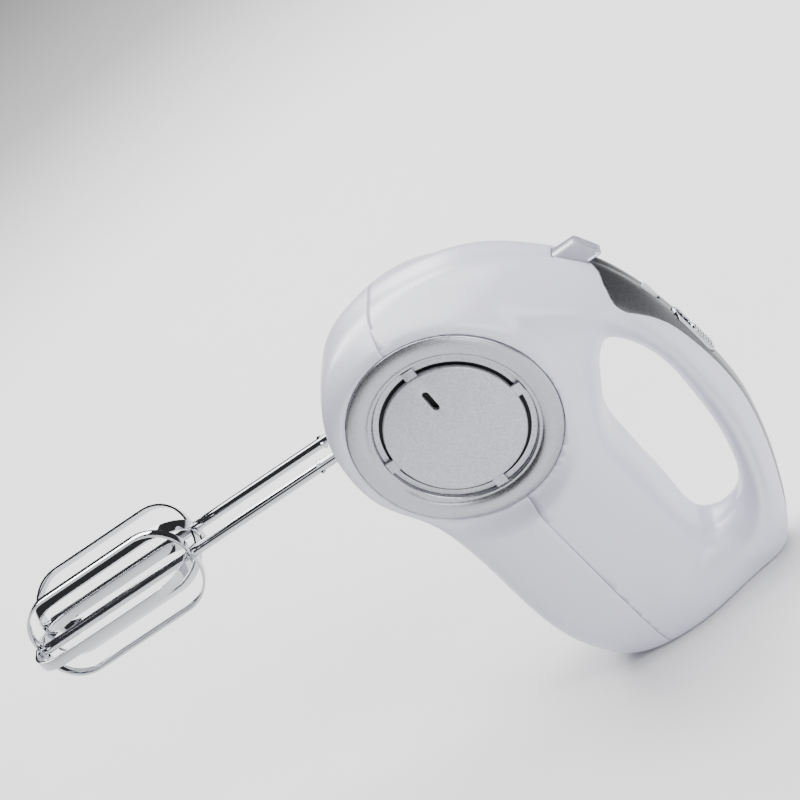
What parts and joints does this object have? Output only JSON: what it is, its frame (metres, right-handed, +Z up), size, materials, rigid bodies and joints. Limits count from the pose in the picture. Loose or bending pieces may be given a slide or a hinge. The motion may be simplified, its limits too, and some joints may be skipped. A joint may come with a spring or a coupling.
{
  "type": "hand mixer",
  "caption": "Electric hand mixer with a closed-loop handle, two pull-out wire beaters on geared spindles, speed slider, turbo and eject buttons, and a heel to stand on.",
  "frame": {"origin": "on the underside of the heel pad, in the mixer's plane of symmetry", "axes": "+Z up from the heel towards the nose, +X towards the handle, -X the way the beaters point, Y across"},
  "size_m": [0.2931, 0.0764, 0.1815],
  "materials": {
    "white_plastic": "satin-gloss cool white",
    "panel": "gunmetal, fine metallic sparkle",
    "ring": "satin silver",
    "disc": "fine sparkle silver",
    "chrome": "polished chrome plate",
    "grey_plastic": "light grey moulded plastic",
    "dark_plastic": "black moulded plastic",
    "clear_plastic": "translucent pale plastic",
    "steel": "plain steel",
    "copper": "enamelled copper",
    "brass": "sintered bronze",
    "carbon": "carbon",
    "nylon": "natural nylon",
    "rubber": "black rubber",
    "board": "green laminate"
  },
  "bodies": {
    "body": {"lower_housing": "white_plastic", "upper_housing": "white_plastic", "handle_panel": "panel", "side_ring_left": "ring", "side_ring_right": "ring", "vent_disc_left": "disc", "vent_disc_right": "disc", "slider_bezel": "chrome", "speed_switch": "dark_plastic", "turbo_switch": "dark_plastic", "spindle_bush_left": "brass", "spindle_bush_right": "brass", "motor_stator": "steel", "field_coil_left": "copper", "field_coil_right": "copper", "rear_bearing_bracket": "steel", "rear_bearing": "brass", "front_bearing": "brass", "carbon_brush_left": "carbon", "carbon_brush_right": "carbon", "brush_holder_left": "brass", "brush_holder_right": "brass", "gearbox_frame": "dark_plastic", "motor_screw_1": "steel", "motor_screw_2": "steel", "heel_pad": "rubber", "cord_gland": "rubber", "circuit_board": "board", "mains_capacitor": "grey_plastic", "choke": "copper", "housing_screw_1": "steel", "housing_screw_2": "steel", "housing_screw_3": "steel", "eject_spring": "steel"},
    "armature": {"motor_shaft": "steel", "armature_core": "steel", "armature_windings": "copper", "commutator": "copper", "cooling_fan": "dark_plastic"},
    "drive_left": {"spindle_left": "steel", "spindle_gear_left": "nylon"},
    "drive_right": {"spindle_right": "steel", "spindle_gear_right": "nylon"},
    "beater_left": {"beater_left_shaft": "chrome", "beater_left_outer_loop": "chrome", "beater_left_inner_loop": "chrome"},
    "beater_right": {"beater_right_shaft": "chrome", "beater_right_outer_loop": "chrome", "beater_right_inner_loop": "chrome"},
    "ejector": {"eject_button": "clear_plastic", "ejector_plate": "steel"},
    "speed_control": {"speed_slider": "chrome"},
    "turbo_control": {"turbo_button": "grey_plastic"}
  },
  "joints": [
    {"name": "motor_spin", "type": "hinge", "parent": "body", "child": "armature", "pos_m": [-0.007, 0, 0.14], "axis": [0, 0, 1], "continuous": true},
    {"name": "spindle_left_spin", "type": "hinge", "parent": "body", "child": "drive_left", "pos_m": [-0.007, 0.011, 0.14], "axis": [1, 0, 0], "continuous": true},
    {"name": "spindle_right_spin", "type": "hinge", "parent": "body", "child": "drive_right", "pos_m": [-0.007, -0.011, 0.14], "axis": [1, 0, 0], "continuous": true},
    {"name": "beater_left_pull", "type": "slide", "parent": "drive_left", "child": "beater_left", "axis": [-1, 0, 0], "range_m": [0, 0.073]},
    {"name": "beater_right_pull", "type": "slide", "parent": "drive_right", "child": "beater_right", "axis": [-1, 0, 0], "range_m": [0, 0.073]},
    {"name": "eject_press", "type": "slide", "parent": "body", "child": "ejector", "axis": [-1, 0, 0], "range_m": [0, 0.0055], "stiffness_N_per_m": 400, "deforming": ["eject_spring"]},
    {"name": "speed_slide", "type": "slide", "parent": "body", "child": "speed_control", "axis": [-0.1301, 0, 0.9915], "range_m": [0, 0.0075]},
    {"name": "turbo_press", "type": "slide", "parent": "body", "child": "turbo_control", "axis": [-0.9725, 0, -0.2331], "range_m": [0, 0.0018], "stiffness_N_per_m": 500}
  ],
  "couplings": [
    {"joint": "spindle_left_spin", "follows": "motor_spin", "ratio": 0.0625},
    {"joint": "spindle_right_spin", "follows": "motor_spin", "ratio": -0.0625},
    {"joint": "beater_right_pull", "follows": "beater_left_pull", "ratio": 1}
  ]
}
